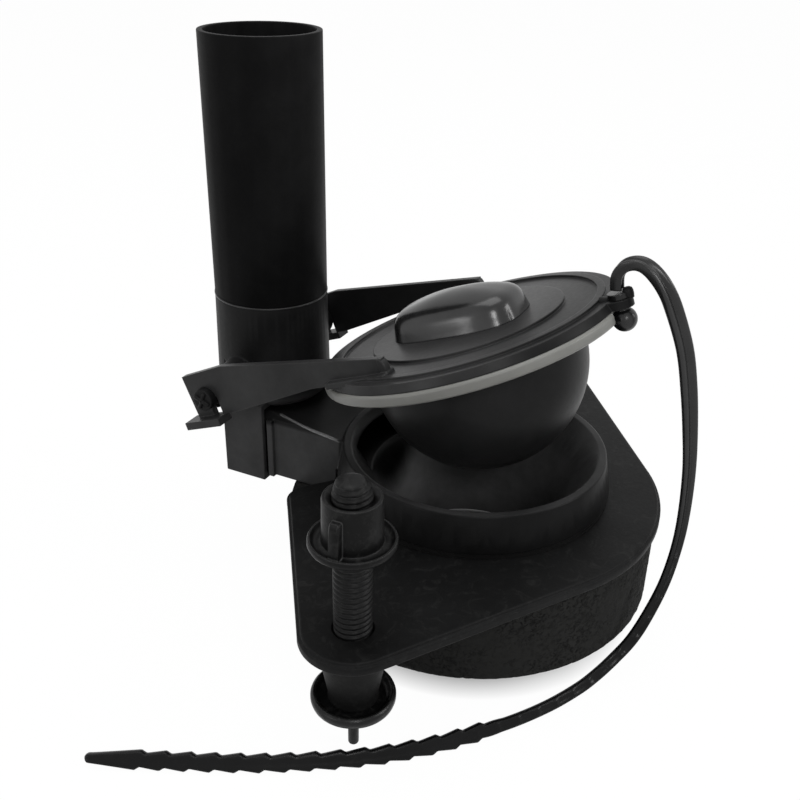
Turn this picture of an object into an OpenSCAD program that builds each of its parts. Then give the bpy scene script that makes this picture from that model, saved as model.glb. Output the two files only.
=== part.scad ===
// Toilet flush valve: hinged flapper on a seat bowl, overflow tube, mounting plate,
// sponge gasket, two fixing bolts and a toothed pull strap.
// Millimetres, +Z up, origin at the centre of the gasket's underside.
// The two bolts lie on the X axis and the overflow tube stands on the +Y side.

/* [Mounting plate] */
// Radius of the plate's round middle
plate_radius = 52.5; // [51:0.5:60]
// Plate thickness
plate_thickness = 3; // [2:0.5:5]
// Distance between the two bolt centres
bolt_spacing = 141; // [132:1:160]
// Radius of the plate's two ends
plate_end_radius = 12.8; // [11:0.2:16]
// Width of the bevel along the plate's top edge
plate_bevel = 0.8; // [0.4:0.1:1.5]
// Half the width of the notch for the duct, at its root
notch_half = 18; // [17.4:0.1:20]
// Distance from the bowl's axis to the root of the notch
notch_root = 35; // [34:0.5:38]
// Angle by which each side of the notch opens
notch_angle = 41; // [30:1:60]
// Radius of the two corners beside the notch
notch_corner = 6; // [3:0.5:9]

/* [Sponge gasket] */
// Outside radius of the sponge gasket
gasket_radius = 51.5; // [46:0.5:52]
// Uncompressed height of the sponge gasket
gasket_height = 24; // [20:1:35]
// Room between the lock nut and the hole in the sponge gasket
gasket_room = 3; // [1:0.5:6]

/* [Seat bowl] */
// Width of the bowl's foot outside its shank
foot_step = 7.2; // [6:0.2:10]
// Bowl's outside radius at its rim
bowl_rim_radius = 36.4; // [35:0.2:38]
// Height of the rim above the plate
rim_height = 12; // [10:0.5:18]
// Width of the flat land on the rim
rim_land = 2.2; // [1.4:0.2:3]
// Radius of the outlet's bore
outlet_radius = 23; // [20:0.5:24]
// Depth of the funnel below the plate
funnel_depth = 8; // [6:0.5:10]
// Outside radius of the shank that passes through the plate
shank_radius = 31; // [30:0.5:33]
// Length of the shank below the plate
shank_length = 23; // [20:1:23]
// Thickness of the flat washer under the bowl
washer_thickness = 1.6; // [1:0.2:3]

/* [Lock nut] */
// Height of the lock nut under the plate
lock_nut_height = 10; // [6:1:12]
// Wall of the lock nut
lock_nut_wall = 5; // [4:0.5:7]
// Number of grip notches round the lock nut
lock_nut_notches = 8; // [6:1:12]

/* [Overflow] */
// Distance from the bowl's axis to the overflow tube's axis
overflow_offset = 65; // [63:0.5:72]
// Outside radius of the overflow tube
tube_radius = 16; // [15:0.5:17]
// Wall of the overflow tube
tube_wall = 1.5; // [1.2:0.1:2]
// Height of the tube's mouth above the plate
tube_height = 116; // [100:1:220]
// Height of the joint between the tube and its socket, above the plate
joint_height = 45.7; // [44:0.5:60]
// Length of the spigot that the tube has inside its socket
spigot_length = 16; // [10:1:18]
// Width of the duct that joins the overflow to the bowl
duct_width = 32; // [30:0.5:34]
// Wall of the duct and of the elbow
duct_wall = 2; // [1.6:0.1:2.4]
// Height of the duct above the plate where it meets the elbow
duct_height = 14.8; // [13:0.2:18]
// How far the duct's far end hangs below the plate's top
duct_drop = 6.2; // [5:0.1:9]
// Depth of the elbow from front to back
elbow_depth = 13; // [12:0.5:16]
// Length of the duct that the elbow's sleeve covers
sleeve_overlap = 3; // [2:0.5:4]

/* [Hinge] */
// Distance from the bowl's axis to the hinge axis
hinge_offset = 66; // [64:0.5:74]
// Height of the hinge axis above the plate
hinge_height = 24.6; // [22:0.1:28]
// Radius of the hinge pegs
peg_radius = 3; // [2.4:0.1:3.4]
// Distance between the flapper's two arms
arm_spacing = 60.4; // [56:0.2:66]
// Thickness of an arm
arm_thickness = 2; // [1.6:0.1:3]

/* [Flapper] */
// Radius of the pale seal under the flapper
seal_radius = 41; // [40:0.2:43]
// Thickness of the seal at its edge
seal_edge = 3; // [2:0.1:4]
// Thickness of the flapper's disc
disc_thickness = 2.2; // [1.8:0.1:3]
// Depth of the disc's top face below the hinge axis, when shut
disc_drop = 1.4; // [0.8:0.1:2]
// How far the flapper stands open
open_angle = 21; // [10:0.1:22]
// Radius of the float bulb under the disc
bulb_radius = 29; // [27:0.2:30]
// Depth of the bulb's centre below the disc's top face
bulb_depth = 10.4; // [8:0.2:11]
// Wall of the float bulb
bulb_wall = 1.8; // [1.4:0.1:2.6]
// Length of the dome on the disc
dome_length = 38; // [30:0.5:40]
// Width of the dome on the disc
dome_width = 25; // [20:0.5:28]
// Height of the dome on the disc
dome_height = 9; // [6:0.5:11]

/* [Bolts] */
// Radius of the bolt's shank
bolt_radius = 4.5; // [4:0.1:4.8]
// Height of the bolt's end above the plate
bolt_height = 38.8; // [36:0.1:50]
// Height of the nut's underside above the plate
nut_lift = 22.9; // [4:0.1:25]
// Height of the nut
nut_height = 12.6; // [10:0.1:14]
// Radius of the nut's hub
nut_hub_radius = 7; // [6.4:0.1:8]
// Radius of the nut's flange
nut_flange_radius = 10.4; // [9.5:0.1:12]
// Number of gussets round the nut
nut_gussets = 2; // [2:1:6]
// Radius of the cup washer on the bolt's head
cup_radius = 10.1; // [8.5:0.1:11]
// Length of the tapered bush between cup washer and plate
bush_length = 17.7; // [10:0.1:19]
// Radius of the bush against the plate
bush_top_radius = 8; // [6.6:0.1:8.4]
// Radius of the bush in the cup washer
bush_foot_radius = 5.8; // [5.5:0.1:7]
// Length of the peg below the bolt's head
head_peg = 10.7; // [6:0.1:14]

/* [Pull strap] */
// Diameter of the strap's plain solid
strap_diameter = 3.2; // [2.4:0.1:4]
// Distance of the strap's stud from the disc's centre
stud_offset = 41.5; // [41:0.1:45]

/* [Hidden] */
$fn = 96;

// Clearances
running_gap = 0.05;
glue_gap = 0.1;
loose_gap = 0.3;
// A cut runs this far past the face that it opens
cut_past = 1;
// A round end stands this far proud of the straight sides that run into it, so that they cross cleanly
tuck = 0.03;

// Levels
plate_foot = gasket_height;
plate_top = gasket_height + plate_thickness;
bowl_foot = plate_top + washer_thickness;
rim_top = plate_top + rim_height;
shank_foot = plate_foot - shank_length;
bolt_x = bolt_spacing / 2;
bolt_end = plate_top + bolt_height;
hinge_z = plate_top + hinge_height;

// Plate outline: the sides touch the round middle and both round ends
side_angle = asin((plate_radius - plate_end_radius) / bolt_x);
plate_hole_radius = shank_radius + loose_gap;
bolt_hole_gap = 0.3;
bolt_hole_radius = bolt_radius + bolt_hole_gap;

// Notch: its sides, and the corner between a side of the plate and a side of the notch, drawn in by an inset
notch_reach = notch_root * cos(notch_angle) - notch_half * sin(notch_angle);
function notch_edge(y, inset) = (y * cos(notch_angle) - notch_reach + inset) / sin(notch_angle);
function notch_point(inset) = let (
    side = plate_radius - inset,
    cut = notch_reach - inset,
    turn = sin(side_angle + notch_angle)
  ) [(cos(side_angle) * cut - cos(notch_angle) * side) / turn,
     (sin(side_angle) * cut + sin(notch_angle) * side) / turn];
corner_centre = notch_point(notch_corner);

// Seat bowl, with what fits round its shank
bowl_foot_radius = shank_radius + foot_step;
lock_nut_radius = shank_radius + lock_nut_wall;
gasket_bore_radius = lock_nut_radius + gasket_room;
washer_inset = 0.6;
rim_bore_radius = bowl_rim_radius - rim_land;
funnel_foot = plate_foot - funnel_depth;
seat_z = bowl_foot + 0.4;
seat_radius = sqrt(pow(bulb_radius + loose_gap, 2) - pow(hinge_z - disc_drop - bulb_depth - seat_z, 2));
tail_wall = 2.6;
tail_radius = outlet_radius + tail_wall;
tail_top = plate_foot - lock_nut_height - cut_past;
grip_half = 2;
grip_depth = 2.2;
grip_roof = 2.5;

// Duct and elbow
duct_half = duct_width / 2;
duct_low = plate_top - duct_drop;
duct_roof = plate_top + duct_height;
duct_root = outlet_radius + 7.5;
duct_crest = rim_top - 0.6;
duct_step = bowl_foot_radius + loose_gap;
duct_chamfer = 2.2;
collar_gap = 1;
collar_width = 2;
collar_rise = 1.3;
channel_roof = rim_top - 2.6;
channel_half = duct_half - duct_wall;
channel_root = outlet_radius - 8;
sleeve_wall = 1.6;
back_bulge = 0.5;
elbow_front = overflow_offset - elbow_depth / 2;
elbow_back = overflow_offset + elbow_depth / 2 + back_bulge;
duct_end = elbow_front + sleeve_overlap;
sleeve_gap = duct_half + glue_gap;
sleeve_half = sleeve_gap + sleeve_wall;
elbow_low = duct_low - glue_gap - sleeve_wall;
elbow_roof = duct_roof + glue_gap + duct_wall;
cone_height = 10;
spigot_step = 1.25;
spigot_wall = 1.4;
socket_flare = 0.5;
tube_joint = plate_top + joint_height;
tube_mouth = plate_top + tube_height;
tube_bore_radius = tube_radius - tube_wall;
spigot_radius = tube_radius - spigot_step;
spigot_bore_radius = spigot_radius - spigot_wall;
spigot_foot = tube_joint - spigot_length;
socket_bore_radius = spigot_radius + glue_gap;
socket_radius = tube_radius + socket_flare;

// Hinge, with the arms' faces as distances from the middle plane
arm_inner = arm_spacing / 2;
arm_outer = arm_inner + arm_thickness;
peg_past = 2.2;
peg_end = arm_outer + peg_past;
boss_gap = 0.5;
boss_end = arm_inner - boss_gap;
boss_root = socket_radius - 2;
boss_root_wall = 2.6;
boss_end_wall = 1.2;
peg_bore_radius = peg_radius + running_gap;

// Arm's outline, along Y from the bowl's axis or the hinge axis and along Z from the hinge axis
arm_front = 8.4;
arm_front_rise = 3;
arm_crest_rise = 8;
arm_crest_back = 8;
arm_sink = 0.6;
arm_under = 9;
ear_reach = 6;
ear_lean = 0.6;
ear_rise = 6.8;
ear_front = 7;
ear_foot_depth = 5.4;
ear_foot_thickness = 2.1;
ear_foot_width = 3.4;
ear_foot_front = 4;
ear_foot_back = 2;
slot_front = peg_radius + 0.4;
slot_back = 0.2;
arm_pad_rise = 0.8;
arm_pad_back = 15;
arm_pad_in = 1.4;
arm_pad_out = 2.2;

// Flapper, in a frame with its origin at the centre of the disc's top face
disc_inset = 0.9;
disc_bevel = 0.8;
disc_radius = seal_radius - disc_inset;
pad_radius = 26;
pad_height = 0.8;
bead_radius = 35.6;
bead_half = 1;
bead_height = 0.7;
bead_sink = 0.5;
seal_bore_radius = bulb_radius + loose_gap;
seal_bevel = 0.5;
seal_rise = 1;
seal_slope = 6;
drain_radius = 5;
dome_corner = 9;
dome_side = 0.52 * dome_height;
dome_shoulder = 0.9;
lug_half = 3.2;
lug_bore_radius = 1.9;
lug_root = 6;
stud_stem_radius = lug_bore_radius - glue_gap;
stud_ball_radius = 3.1;
stud_collar_radius = 2.7;
stud_collar_height = 1.6;
stud_ball_drop = disc_thickness + stud_ball_radius + glue_gap;
stud_clear = 1.6;

// Bolts
bush_foot = plate_foot - bush_length;
bolt_tip = 1;
cup_floor = 1.6;
cup_rim = 1.5;
cup_bevel = 1;
cup_land = 1.4;
cup_slope = 2.6;
cup_foot = bush_foot - cup_floor;
head_height = 2.8;
head_radius = 6.2;
head_foot = cup_foot - head_height;
peg_side = 2.4;
nut_foot = plate_top + nut_lift;
nut_flange_height = 1.2;
nut_lip_width = 1;
nut_lip_height = 2;
nut_mouth = 1;
gusset_height = 10;
gusset_thickness = 2.4;
gusset_inset = 1.4;
gusset_crest = 1.2;

// Strap's start: just over the stud's collar, carried along with the flapper
strap_lift = stud_collar_height + 0.5;
stud_back = stud_offset + hinge_offset;
strap_start = [
  0,
  hinge_offset - stud_back * cos(open_angle) + (strap_lift - disc_drop) * sin(open_angle),
  hinge_z + stud_back * sin(open_angle) + (strap_lift - disc_drop) * cos(open_angle)
];

// Route of the pull strap's middle, from the stud to the tail, with heights from the plate's top
strap_drawn_start = [0, -34, 64];
strap_hang = 17;
strap_route = [
  strap_drawn_start, [0, -33.8, 67.5], [0, -35.4, 70.2], [0, -38.4, 71.2], [0, -41.5, 70],
  [0, -45, 66.5], [0, -48, 61.5], [0, -52, 52], [0, -54.5, 42], [0, -56.5, 31],
  [-1, -58, 20.5], [-2, -59, 9], [-4, -58.5, -0.5], [-8, -57.5, -9.5],
  [-12, -55.5, -17.5], [-15.5, -53, -25], [-19, -50, -30.5], [-24, -47, -33.5], [-30, -44, -34.2],
  [-38, -39, -34.2], [-47.5, -33, -34.2], [-56, -26, -34.2], [-65, -18, -34.2], [-73, -8.5, -34.2],
  [-80, 2, -34.2], [-87, 14, -34.2], [-93, 26, -34.2], [-99, 38.5, -34.2], [-105, 52, -34.2]
];
strap_shift = strap_start - strap_drawn_start - [0, 0, plate_top];
strap_sides = 8;
strap_steps = 2;

// Shapes that repeat

// A ring between two radii, from one level to another
module ring(outer, inner, low, high) {
  translate([0, 0, low])
    difference() {
      cylinder(r = outer, h = high - low);
      translate([0, 0, -cut_past]) cylinder(r = inner, h = high - low + 2 * cut_past);
    }
}

// Cut for a bore along Z
module bore(radius, low, high) {
  translate([0, 0, low - cut_past]) cylinder(r = radius, h = high - low + 2 * cut_past);
}

// A box given by its lowest and highest corners
module block(low, high) {
  translate(low) cube(high - low);
}

// Outline of the plate, drawn in by an inset
module plate_outline(inset) {
  middle = plate_radius - inset - tuck;
  end = plate_end_radius - inset - tuck;
  rise = cos(side_angle);
  run = sin(side_angle);
  circle(r = middle + tuck);
  for (side = [-1, 1]) translate([side * bolt_x, 0]) circle(r = end + tuck);
  polygon([
    [bolt_x + end * run, -end * rise], [bolt_x + end * run, end * rise],
    [middle * run, middle * rise], [-middle * run, middle * rise],
    [-bolt_x - end * run, end * rise], [-bolt_x - end * run, -end * rise],
    [-middle * run, -middle * rise], [middle * run, -middle * rise]
  ]);
}

// Room for the duct at the plate's back: all that lies behind the notch, with its outer corners cut off
module notch_cut(inset) {
  root = notch_root - inset;
  far = 2 * plate_radius;
  round = notch_corner - inset + tuck;
  polygon([
    [-notch_edge(root, inset), root], [notch_edge(root, inset), root],
    [notch_edge(far, inset), far], [-notch_edge(far, inset), far]
  ]);
  for (side = [0, 1])
    mirror([side, 0])
      polygon([
        corner_centre + round * [-sin(side_angle), cos(side_angle)],
        notch_point(inset - cut_past),
        corner_centre + round * [sin(notch_angle), cos(notch_angle)]
      ]);
}

// Outline of the plate with its notch
module notched_outline(inset) {
  difference() {
    plate_outline(inset);
    notch_cut(inset);
  }
  for (side = [0, 1])
    mirror([side, 0])
      translate(corner_centre) circle(r = notch_corner - inset + tuck);
}

// Places a child that is drawn in the flapper's frame, at the angle the flapper stands open
module on_flapper() {
  translate([0, hinge_offset, hinge_z])
    rotate([-open_angle, 0, 0])
      translate([0, -hinge_offset, -disc_drop])
        children();
}

// Extrudes an outline given in the Y and Z directions, between two X values
module side_profile(points, low_x, high_x) {
  translate([low_x, 0, 0])
    rotate([90, 0, 90])
      linear_extrude(height = high_x - low_x) polygon(points);
}

// Mounting and outlet

// Plate with two round ends, a notch for the duct and a step along its top edge
module mounting_plate() {
  color([0.10, 0.10, 0.10])
    difference() {
      union() {
        translate([0, 0, plate_foot])
          linear_extrude(height = plate_thickness - plate_bevel) notched_outline(0);
        translate([0, 0, plate_top - plate_bevel])
          linear_extrude(height = plate_bevel) notched_outline(plate_bevel);
      }
      bore(plate_hole_radius, plate_foot, plate_top);
      for (side = [-1, 1])
        translate([side * bolt_x, 0, 0]) bore(bolt_hole_radius, plate_foot, plate_top);
    }
}

// Thick sponge ring that is squeezed between the plate and the bowl's inlet
module sponge_gasket() {
  color([0.06, 0.06, 0.06])
    difference() {
      ring(gasket_radius, gasket_bore_radius, 0, gasket_height);
      translate([0, 0, duct_low - loose_gap])
        linear_extrude(height = gasket_height) notch_cut(0);
    }
}

// Flat rubber washer between the seat bowl and the plate
module seat_washer() {
  color([0.05, 0.05, 0.05])
    ring(bowl_foot_radius - washer_inset, shank_radius + glue_gap, plate_top, bowl_foot);
}

// Bowl with its shank, the duct to the overflow, and a funnel whose waist is the bulb's seat
module seat_bowl() {
  color([0.07, 0.07, 0.07])
    difference() {
      union() {
        rotate_extrude()
          polygon([
            [0, bowl_foot], [bowl_foot_radius, bowl_foot],
            [bowl_rim_radius, rim_top], [0, rim_top]
          ]);
        rotate_extrude()
          polygon([
            [0, shank_foot], [tail_radius, shank_foot],
            [tail_radius, tail_top + tail_radius - shank_radius], [shank_radius, tail_top],
            [shank_radius, bowl_foot], [0, bowl_foot]
          ]);
        duct_shell();
      }
      rotate_extrude()
        polygon([
          [0, funnel_foot], [outlet_radius, funnel_foot], [seat_radius, seat_z],
          [rim_bore_radius, rim_top], [rim_bore_radius, rim_top + cut_past],
          [0, rim_top + cut_past]
        ]);
      bore(outlet_radius, shank_foot, funnel_foot);
      duct_channel();
    }
}

// Outside of the duct: shallow over the plate, deeper in the plate's notch and beyond, with a stop collar
module duct_shell() {
  notch_front = notch_root + loose_gap;
  collar_back = duct_end - sleeve_overlap - collar_gap;
  difference() {
    intersection() {
      side_profile([
        [duct_root, bowl_foot], [notch_front, bowl_foot],
        [notch_front, duct_low], [duct_end, duct_low],
        [duct_end, duct_roof], [bowl_rim_radius, duct_crest], [duct_root, duct_crest]
      ], -duct_half, duct_half);
      duct_section();
    }
    translate([0, 0, duct_low - cut_past])
      cylinder(r = duct_step, h = bowl_foot - duct_low + cut_past);
  }
  for (side = [0, 1])
    mirror([side, 0, 0])
      block([channel_half + duct_wall / 2, collar_back - collar_width, duct_low],
            [duct_half + collar_rise, collar_back, duct_roof - duct_chamfer]);
}

// Cross section of the duct, with its two top edges taken off
module duct_section() {
  half = duct_half;
  top = duct_roof;
  rotate([90, 0, 0])
    mirror([0, 0, 1])
      linear_extrude(height = duct_end + cut_past)
        polygon([
          [-half, duct_low], [half, duct_low],
          [half, top - duct_chamfer], [half - duct_chamfer, top],
          [duct_chamfer - half, top], [-half, top - duct_chamfer]
        ]);
}

// Waterway through the duct, from the elbow into the funnel
module duct_channel() {
  block([-channel_half, channel_root, bowl_foot + duct_wall],
        [channel_half, duct_end + cut_past, channel_roof]);
  block([-channel_half, duct_step + duct_wall, duct_low + duct_wall],
        [channel_half, duct_end + cut_past, channel_roof]);
}

// Ring nut that draws the bowl's shank down on the plate
module lock_nut() {
  low = plate_foot - lock_nut_height;
  color([0.08, 0.08, 0.08])
    difference() {
      ring(lock_nut_radius, shank_radius + glue_gap, low, plate_foot);
      for (step = [0 : lock_nut_notches - 1])
        rotate(360 * step / lock_nut_notches)
          block([lock_nut_radius - grip_depth, -grip_half, low - cut_past],
                [lock_nut_radius + cut_past, grip_half, plate_foot - grip_roof]);
    }
}

// Overflow

// Elbow: a sleeve over the duct's end, a round socket for the tube and two hinge pegs
module overflow_elbow() {
  color([0.07, 0.07, 0.07])
    difference() {
      union() {
        block([-sleeve_half, elbow_front, elbow_low], [sleeve_half, elbow_back, elbow_roof]);
        translate([0, overflow_offset, elbow_roof - cone_height])
          cylinder(r1 = elbow_depth / 2, r2 = socket_radius, h = cone_height);
        translate([0, overflow_offset, elbow_roof])
          cylinder(r1 = socket_radius, r2 = tube_radius, h = tube_joint - elbow_roof);
        for (side = [-1, 1]) hinge_peg(side);
      }
      elbow_waterway();
    }
}

// One peg, on a tapered boss that grows from the socket's side
module hinge_peg(side) {
  translate([0, hinge_offset, hinge_z])
    rotate([0, side * 90, 0])
      translate([0, 0, boss_root]) {
        cylinder(r1 = peg_radius + boss_root_wall, r2 = peg_radius + boss_end_wall,
                 h = boss_end - boss_root);
        cylinder(r = peg_radius, h = peg_end - boss_root);
      }
}

// Inside of the elbow, from the tube's socket to the duct
module elbow_waterway() {
  front = overflow_offset - socket_radius - cut_past;
  block([-sleeve_gap, front, duct_low - glue_gap],
        [sleeve_gap, duct_end + glue_gap, duct_roof + glue_gap]);
  block([-channel_half, elbow_front, duct_low + duct_wall],
        [channel_half, elbow_back - duct_wall, duct_roof]);
  translate([0, overflow_offset, elbow_roof - cone_height + duct_wall])
    cylinder(r1 = elbow_depth / 2 - duct_wall, r2 = spigot_bore_radius, h = cone_height);
  translate([0, overflow_offset, 0])
    bore(spigot_bore_radius, elbow_roof + duct_wall + cut_past, tube_joint);
  translate([0, overflow_offset, spigot_foot])
    cylinder(r = socket_bore_radius, h = spigot_length + cut_past);
}

// Overflow tube, with a narrower spigot at its foot
module overflow_tube() {
  color([0.08, 0.08, 0.08])
    translate([0, overflow_offset, 0])
      difference() {
        union() {
          translate([0, 0, tube_joint]) cylinder(r = tube_radius, h = tube_mouth - tube_joint);
          translate([0, 0, spigot_foot]) cylinder(r = spigot_radius, h = spigot_length);
        }
        bore(spigot_bore_radius, spigot_foot, tube_joint);
        translate([0, 0, tube_joint])
          cylinder(r = tube_bore_radius, h = tube_mouth - tube_joint + cut_past);
      }
}

// Bolts

// Bolt with a round head and a square peg under it
module fixing_bolt(side) {
  color([0.12, 0.12, 0.12])
    translate([side * bolt_x, 0, 0]) {
      translate([0, 0, head_foot]) cylinder(r = head_radius, h = head_height);
      translate([0, 0, cup_foot]) cylinder(r = bolt_radius, h = bolt_end - cup_foot - bolt_tip);
      translate([0, 0, bolt_end - bolt_tip])
        cylinder(r1 = bolt_radius, r2 = bolt_radius - bolt_tip, h = bolt_tip);
      translate([-peg_side / 2, -peg_side / 2, head_foot - head_peg])
        cube([peg_side, peg_side, head_peg]);
    }
}

// Dished washer that holds the bush on the bolt's head
module cup_washer(side) {
  color([0.10, 0.10, 0.10])
    translate([side * bolt_x, 0, 0])
      rotate_extrude()
        polygon([
          [bolt_radius + running_gap, cup_foot], [cup_radius - cup_bevel, cup_foot],
          [cup_radius, cup_foot + cup_bevel], [cup_radius, bush_foot + cup_rim],
          [cup_radius - cup_land, bush_foot + cup_rim], [cup_radius - cup_slope, bush_foot],
          [bolt_radius + running_gap, bush_foot]
        ]);
}

// Tapered rubber bush between the cup washer and the plate
module taper_bush(side) {
  color([0.09, 0.09, 0.09])
    translate([side * bolt_x, 0, bush_foot])
      difference() {
        cylinder(r1 = bush_foot_radius, r2 = bush_top_radius, h = bush_length);
        bore(bolt_radius + running_gap, 0, bush_length);
      }
}

// Flanged hand nut with gussets round its hub
module hand_nut(side) {
  color([0.11, 0.11, 0.11])
    translate([side * bolt_x, 0, nut_foot])
      difference() {
        union() {
          cylinder(r = nut_hub_radius, h = nut_height);
          cylinder(r = nut_flange_radius, h = nut_flange_height);
          ring(nut_flange_radius, nut_flange_radius - nut_lip_width, 0, nut_lip_height);
          for (step = [0 : nut_gussets - 1])
            rotate(360 * step / nut_gussets) nut_gusset();
        }
        bore(bolt_radius + running_gap, 0, nut_height);
        translate([0, 0, nut_height - nut_mouth])
          cylinder(r1 = bolt_radius + running_gap, r2 = bolt_radius + running_gap + nut_mouth + cut_past,
                   h = nut_mouth + cut_past);
      }
}

// One sloping gusset from the nut's hub to its flange
module nut_gusset() {
  translate([0, gusset_thickness / 2, 0])
    rotate([90, 0, 0])
      linear_extrude(height = gusset_thickness)
        polygon([
          [nut_hub_radius - gusset_crest, 0], [nut_flange_radius - gusset_inset, 0],
          [nut_flange_radius - gusset_inset, nut_flange_height],
          [nut_hub_radius + gusset_crest, gusset_height],
          [nut_hub_radius - gusset_crest, gusset_height]
        ]);
}

// Flapper

// Disc with its two hinge arms and the lug for the strap
module flapper_frame() {
  color([0.14, 0.14, 0.14])
    on_flapper()
      difference() {
        union() {
          translate([0, 0, -disc_thickness])
            cylinder(r1 = disc_radius, r2 = disc_radius - disc_bevel, h = disc_thickness);
          cylinder(r = pad_radius, h = pad_height);
          ring(bead_radius + bead_half, bead_radius - bead_half, -bead_sink, bead_height);
          for (side = [0, 1]) mirror([side, 0, 0]) hinge_arm();
          strap_lug();
        }
        translate([0, -stud_offset, 0]) bore(lug_bore_radius, -disc_thickness, pad_height);
      }
}

// One arm: a deep web that runs from the disc's side back to its ear
module hinge_arm() {
  back = hinge_offset + ear_reach;
  axis = disc_drop;
  foot = axis - ear_foot_depth;
  toe = hinge_offset - ear_foot_front;
  heel = back + ear_foot_back;
  pad_end = disc_radius - arm_pad_back;
  difference() {
    union() {
      side_profile([
        [arm_front, -arm_sink], [arm_front, axis + arm_front_rise],
        [hinge_offset - arm_crest_back, axis + arm_crest_rise], [back, axis + ear_rise],
        [back - ear_lean, foot], [hinge_offset - ear_front, foot],
        [disc_radius - arm_under, -arm_sink]
      ], arm_inner, arm_outer);
      side_profile([
        [toe, foot - ear_foot_thickness], [heel, foot - ear_foot_thickness],
        [heel, foot], [toe, foot]
      ], arm_inner, arm_outer + ear_foot_width);
      side_profile([
        [arm_front, -arm_sink], [arm_front, arm_pad_rise],
        [pad_end, arm_pad_rise], [pad_end, -arm_sink]
      ], arm_inner - arm_pad_in, arm_outer + arm_pad_out);
    }
    translate([arm_inner - cut_past, hinge_offset, axis])
      rotate([0, 90, 0]) cylinder(r = peg_bore_radius, h = arm_thickness + 2 * cut_past);
    block([arm_inner - cut_past, hinge_offset - slot_front, foot],
          [arm_outer + cut_past, hinge_offset - slot_back, axis]);
  }
}

// Lug at the disc's front edge, with a round end
module strap_lug() {
  translate([0, -stud_offset, -disc_thickness]) cylinder(r = lug_half, h = disc_thickness);
  block([-lug_half, -stud_offset, -disc_thickness], [lug_half, lug_root - disc_radius, 0]);
}

// Pale silicone ring between the disc and the bulb, with a thin sloping web and a thick edge
module seal_ring() {
  top = -disc_thickness;
  low = top - seal_edge;
  color([0.62, 0.62, 0.58])
    on_flapper()
      difference() {
        rotate_extrude()
          polygon([
            [seal_bore_radius, top], [seal_radius - seal_bevel, top],
            [seal_radius, top - seal_bevel], [seal_radius, low + seal_bevel],
            [seal_radius - seal_bevel, low], [seal_radius - seal_slope, low + seal_rise],
            [seal_bore_radius, low + seal_rise]
          ]);
        translate([0, -stud_offset, 0])
          bore(stud_ball_radius + stud_clear, low, top);
      }
}

// Hollow bulb that floats the flapper, flat on top and open at its foot
module float_bulb() {
  color([0.09, 0.09, 0.09])
    on_flapper()
      difference() {
        translate([0, 0, -bulb_depth]) sphere(r = bulb_radius);
        block([-bulb_radius - cut_past, -bulb_radius - cut_past, -disc_thickness],
              [bulb_radius + cut_past, bulb_radius + cut_past, bulb_radius]);
        intersection() {
          translate([0, 0, -bulb_depth]) sphere(r = bulb_radius - bulb_wall);
          block([-bulb_radius, -bulb_radius, -2 * bulb_radius],
                [bulb_radius, bulb_radius, -disc_thickness - bulb_wall]);
        }
        translate([0, 0, -bulb_depth - bulb_radius - cut_past])
          cylinder(r = drain_radius, h = bulb_radius);
      }
}

// Low dome on top of the disc: upright sides with soft corners under one long crown
module float_dome() {
  across = dome_width / 2;
  along = dome_length / 2;
  color([0.12, 0.12, 0.12])
    on_flapper()
      translate([0, 0, pad_height])
        hull() {
          for (x = [-1, 1], y = [-1, 1])
            translate([x * (across - dome_corner), y * (along - dome_corner), 0])
              cylinder(r1 = dome_corner, r2 = dome_corner - dome_shoulder, h = dome_side, $fn = 40);
          translate([0, 0, dome_side])
            scale([across - dome_shoulder, along - dome_shoulder, dome_height - dome_side])
              sphere(r = 1, $fn = 40);
        }
}

// Stud that holds the strap's end in the lug: a collar, a stem and a ball
module strap_stud() {
  color([0.12, 0.12, 0.12])
    on_flapper()
      translate([0, -stud_offset, 0]) {
        translate([0, 0, -stud_ball_drop]) sphere(r = stud_ball_radius, $fn = 48);
        translate([0, 0, -stud_ball_drop]) cylinder(r = stud_stem_radius, h = stud_ball_drop);
        cylinder(r = stud_collar_radius, h = stud_collar_height);
      }
}

// Pull strap

// Point on a smooth curve through four route points
function smooth_point(a, b, c, d, t) =
  0.5 * (2 * b + (c - a) * t + (2 * a - 5 * b + 4 * c - d) * t * t
         + (3 * b - a - 3 * c + d) * t * t * t);
// Route point, moved with the stud at the strap's start and not at all where the strap lies flat
function route_at(i) = let (at = max(0, min(len(strap_route) - 1, i)))
  strap_route[at] + [0, 0, plate_top] + strap_shift * max(0, 1 - at / strap_hang);
strap_points = [
  for (i = [0 : len(strap_route) - 2], s = [0 : strap_steps - 1])
    smooth_point(route_at(i - 1), route_at(i), route_at(i + 1), route_at(i + 2), s / strap_steps),
  route_at(len(strap_route) - 1)
];
function unit(v) = v / norm(v);
function strap_heading(i) =
  unit(strap_points[min(i + 1, len(strap_points) - 1)] - strap_points[max(i - 1, 0)]);
// Sideways direction at each point, carried along so that the tube never twists
strap_sideways = [
  for (i = 0, side = [1, 0, 0];
       i < len(strap_points);
       i = i + 1,
       side = i < len(strap_points)
         ? unit(side - (side * strap_heading(i)) * strap_heading(i)) : side)
    side
];

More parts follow.
